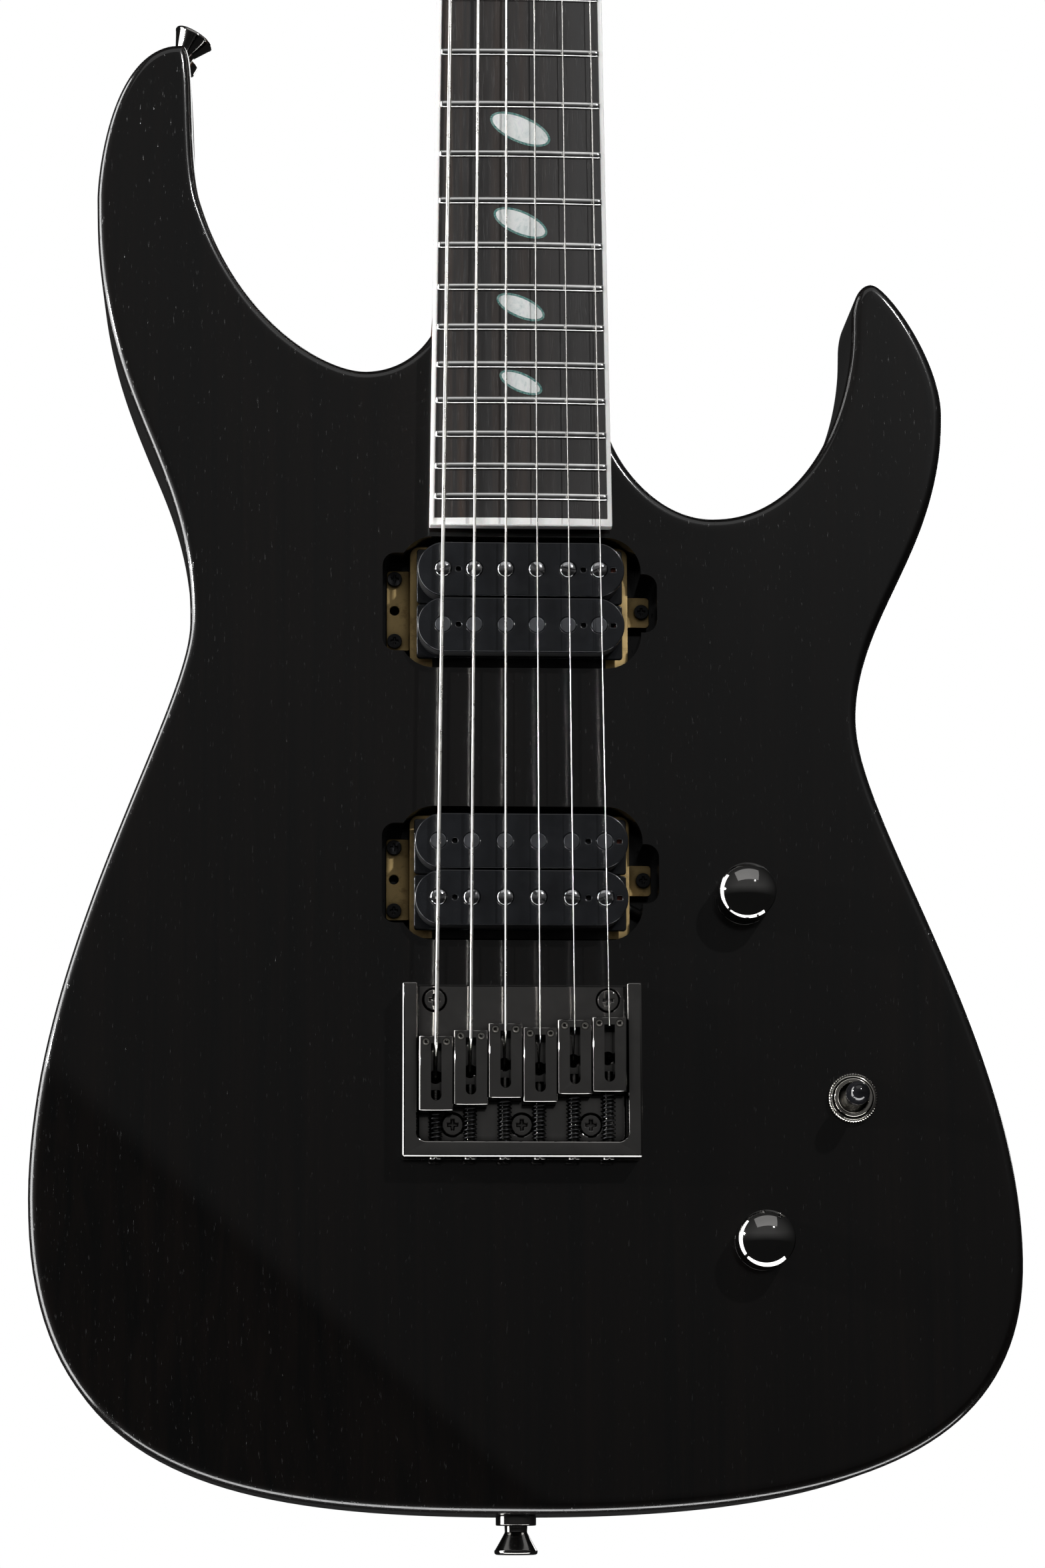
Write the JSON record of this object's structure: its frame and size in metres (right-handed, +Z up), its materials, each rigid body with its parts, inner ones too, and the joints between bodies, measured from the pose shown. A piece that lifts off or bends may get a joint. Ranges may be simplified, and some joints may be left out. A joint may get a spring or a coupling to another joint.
{
  "type": "electric guitar",
  "caption": "Double-cutaway solid-body electric guitar with bound fingerboard, direct-mounted humbuckers, hardtail bridge with sliding saddles, two dome knobs, toggle and in-line machine heads.",
  "frame": {"origin": "on the flat back of the body, on the centre line, at the nominal saddle line of the scale", "axes": "+Z up the neck towards the headstock, +X to the treble side, -Y out of the front of the body (the strings' side), +Y out of the back"},
  "size_m": [0.3025, 0.0666, 0.9939],
  "materials": {
    "body_finish": "satin to semi-gloss see-through black over vertical grain",
    "neck_wood": "satin",
    "fingerboard_wood": "oiled ebony",
    "binding_plastic": "polished white",
    "fret_steel": "polished crowns",
    "pearl": "polished mother-of-pearl look",
    "steel": "plain machined",
    "black_plastic": "polished black",
    "coil_tape": "black coil tape",
    "black_screw": "black oxide",
    "black_chrome": "black chrome plating",
    "brass": "lightly tarnished",
    "magnet": "rough cast",
    "pole_metal": "darkened nickel",
    "nickel": "bright nickel",
    "wire_cover": "matte",
    "string_metal": "wound and plain steel"
  },
  "bodies": {
    "root": {"body": "body_finish", "neck": "neck_wood", "fingerboard": "fingerboard_wood", "fingerboard_binding": "binding_plastic", "frets": "fret_steel", "inlays": "pearl", "nut": "binding_plastic", "truss_rod": "steel", "truss_rod_cover": "black_plastic", "wood_screws": "black_screw", "ferrules": "black_chrome", "strap_buttons": "black_chrome", "bridge_plate": "black_chrome", "intonation_springs": "black_chrome", "pickup_baseplates": "brass", "pickup_bobbins": "black_plastic", "pickup_coils": "coil_tape", "pickup_magnets": "magnet", "pole_screws": "pole_metal", "pole_slugs": "pole_metal", "pickup_screws": "black_screw", "pots": "steel", "toggle_switch": "steel", "panel_nuts": "nickel", "output_jack": "nickel", "wiring": "wire_cover", "rear_cover": "black_plastic", "strings": "string_metal", "tuner_housings": "black_chrome", "tuner_bushings": "black_chrome"},
    "volume_control": {"volume_pot_shaft": "steel", "volume_knob": "black_chrome"},
    "tone_control": {"tone_pot_shaft": "steel", "tone_knob": "black_chrome"},
    "pickup_selector": {"toggle_lever": "steel", "toggle_tip": "black_plastic"},
    "saddle_1_block": {"saddle_1": "black_chrome"},
    "intonation_1": {"intonation_screw_1": "black_chrome"},
    "post_1": {"tuner_post_1": "black_chrome"},
    "button_1": {"tuner_button_1": "black_chrome"},
    "saddle_2_block": {"saddle_2": "black_chrome"},
    "intonation_2": {"intonation_screw_2": "black_chrome"},
    "post_2": {"tuner_post_2": "black_chrome"},
    "button_2": {"tuner_button_2": "black_chrome"},
    "saddle_3_block": {"saddle_3": "black_chrome"},
    "intonation_3": {"intonation_screw_3": "black_chrome"},
    "post_3": {"tuner_post_3": "black_chrome"},
    "button_3": {"tuner_button_3": "black_chrome"},
    "saddle_4_block": {"saddle_4": "black_chrome"},
    "intonation_4": {"intonation_screw_4": "black_chrome"},
    "post_4": {"tuner_post_4": "black_chrome"},
    "button_4": {"tuner_button_4": "black_chrome"},
    "saddle_5_block": {"saddle_5": "black_chrome"},
    "intonation_5": {"intonation_screw_5": "black_chrome"},
    "post_5": {"tuner_post_5": "black_chrome"},
    "button_5": {"tuner_button_5": "black_chrome"},
    "saddle_6_block": {"saddle_6": "black_chrome"},
    "intonation_6": {"intonation_screw_6": "black_chrome"},
    "post_6": {"tuner_post_6": "black_chrome"},
    "button_6": {"tuner_button_6": "black_chrome"}
  },
  "joints": [
    {"name": "volume_turn", "type": "hinge", "parent": "root", "child": "volume_control", "pos_m": [0.0688, -0.043, 0.0384], "axis": [0, -1, 0], "range_deg": [-150, 150]},
    {"name": "tone_turn", "type": "hinge", "parent": "root", "child": "tone_control", "pos_m": [0.0734, -0.043, -0.0676], "axis": [0, -1, 0], "range_deg": [-150, 150]},
    {"name": "selector_tilt", "type": "hinge", "parent": "root", "child": "pickup_selector", "pos_m": [0.1012, -0.038, -0.0239], "axis": [1, 0, 0], "range_deg": [-15, 15]},
    {"name": "intonation_1_turn", "type": "hinge", "parent": "root", "child": "intonation_1", "pos_m": [-0.02625, -0.0493, -0.0428], "axis": [0, 0, 1], "range_deg": [-2520, 2520]},
    {"name": "saddle_1_slide", "type": "slide", "parent": "root", "child": "saddle_1_block", "axis": [0, 0, 1], "range_m": [-0.0035, 0.0035], "deforming": ["intonation_springs", "strings"]},
    {"name": "button_1_turn", "type": "hinge", "parent": "root", "child": "button_1", "pos_m": [-0.01901, -0.02365, 0.68809], "axis": [-0.9657, 0.0451, 0.2557], "continuous": true},
    {"name": "post_1_turn", "type": "hinge", "parent": "root", "child": "post_1", "pos_m": [-0.02098, -0.04334, 0.68411], "axis": [0, -0.9848, 0.1736], "continuous": true},
    {"name": "intonation_2_turn", "type": "hinge", "parent": "root", "child": "intonation_2", "pos_m": [-0.01575, -0.0493, -0.0428], "axis": [0, 0, 1], "range_deg": [-2520, 2520]},
    {"name": "saddle_2_slide", "type": "slide", "parent": "root", "child": "saddle_2_block", "axis": [0, 0, 1], "range_m": [-0.0035, 0.0035]},
    {"name": "button_2_turn", "type": "hinge", "parent": "root", "child": "button_2", "pos_m": [-0.01176, -0.01931, 0.71271], "axis": [-0.9657, 0.0451, 0.2557], "continuous": true},
    {"name": "post_2_turn", "type": "hinge", "parent": "root", "child": "post_2", "pos_m": [-0.01374, -0.039, 0.70873], "axis": [0, -0.9848, 0.1736], "continuous": true},
    {"name": "intonation_3_turn", "type": "hinge", "parent": "root", "child": "intonation_3", "pos_m": [-0.00525, -0.0493, -0.0428], "axis": [0, 0, 1], "range_deg": [-2520, 2520]},
    {"name": "saddle_3_slide", "type": "slide", "parent": "root", "child": "saddle_3_block", "axis": [0, 0, 1], "range_m": [-0.0035, 0.0035]},
    {"name": "button_3_turn", "type": "hinge", "parent": "root", "child": "button_3", "pos_m": [-0.00475, -0.01497, 0.73733], "axis": [-0.9657, 0.0451, 0.2557], "continuous": true},
    {"name": "post_3_turn", "type": "hinge", "parent": "root", "child": "post_3", "pos_m": [-0.00673, -0.03466, 0.73335], "axis": [0, -0.9848, 0.1736], "continuous": true},
    {"name": "intonation_4_turn", "type": "hinge", "parent": "root", "child": "intonation_4", "pos_m": [0.00525, -0.0493, -0.0428], "axis": [0, 0, 1], "range_deg": [-2520, 2520]},
    {"name": "saddle_4_slide", "type": "slide", "parent": "root", "child": "saddle_4_block", "axis": [0, 0, 1], "range_m": [-0.0035, 0.0035]},
    {"name": "button_4_turn", "type": "hinge", "parent": "root", "child": "button_4", "pos_m": [0.00199, -0.01063, 0.76196], "axis": [-0.9657, 0.0451, 0.2557], "continuous": true},
    {"name": "post_4_turn", "type": "hinge", "parent": "root", "child": "post_4", "pos_m": [0.00002, -0.03032, 0.75797], "axis": [0, -0.9848, 0.1736], "continuous": true},
    {"name": "intonation_5_turn", "type": "hinge", "parent": "root", "child": "intonation_5", "pos_m": [0.01575, -0.0493, -0.0428], "axis": [0, 0, 1], "range_deg": [-2520, 2520]},
    {"name": "saddle_5_slide", "type": "slide", "parent": "root", "child": "saddle_5_block", "axis": [0, 0, 1], "range_m": [-0.0035, 0.0035]},
    {"name": "button_5_turn", "type": "hinge", "parent": "root", "child": "button_5", "pos_m": [0.00842, -0.00629, 0.78658], "axis": [-0.9657, 0.0451, 0.2557], "continuous": true},
    {"name": "post_5_turn", "type": "hinge", "parent": "root", "child": "post_5", "pos_m": [0.00645, -0.02598, 0.78259], "axis": [0, -0.9848, 0.1736], "continuous": true},
    {"name": "intonation_6_turn", "type": "hinge", "parent": "root", "child": "intonation_6", "pos_m": [0.02625, -0.0493, -0.0428], "axis": [0, 0, 1], "range_deg": [-2520, 2520]},
    {"name": "saddle_6_slide", "type": "slide", "parent": "root", "child": "saddle_6_block", "axis": [0, 0, 1], "range_m": [-0.0035, 0.0035]},
    {"name": "button_6_turn", "type": "hinge", "parent": "root", "child": "button_6", "pos_m": [0.0146, -0.00195, 0.8112], "axis": [-0.9657, 0.0451, 0.2557], "continuous": true},
    {"name": "post_6_turn", "type": "hinge", "parent": "root", "child": "post_6", "pos_m": [0.01262, -0.02164, 0.80721], "axis": [0, -0.9848, 0.1736], "continuous": true}
  ],
  "couplings": [
    {"joint": "intonation_1_turn", "follows": "saddle_1_slide", "rad_per_m": 12566},
    {"joint": "post_1_turn", "follows": "button_1_turn", "ratio": 0.055556},
    {"joint": "intonation_2_turn", "follows": "saddle_2_slide", "rad_per_m": 12566},
    {"joint": "post_2_turn", "follows": "button_2_turn", "ratio": 0.055556},
    {"joint": "intonation_3_turn", "follows": "saddle_3_slide", "rad_per_m": 12566},
    {"joint": "post_3_turn", "follows": "button_3_turn", "ratio": 0.055556},
    {"joint": "intonation_4_turn", "follows": "saddle_4_slide", "rad_per_m": 12566},
    {"joint": "post_4_turn", "follows": "button_4_turn", "ratio": 0.055556},
    {"joint": "intonation_5_turn", "follows": "saddle_5_slide", "rad_per_m": 12566},
    {"joint": "post_5_turn", "follows": "button_5_turn", "ratio": 0.055556},
    {"joint": "intonation_6_turn", "follows": "saddle_6_slide", "rad_per_m": 12566},
    {"joint": "post_6_turn", "follows": "button_6_turn", "ratio": 0.055556}
  ]
}
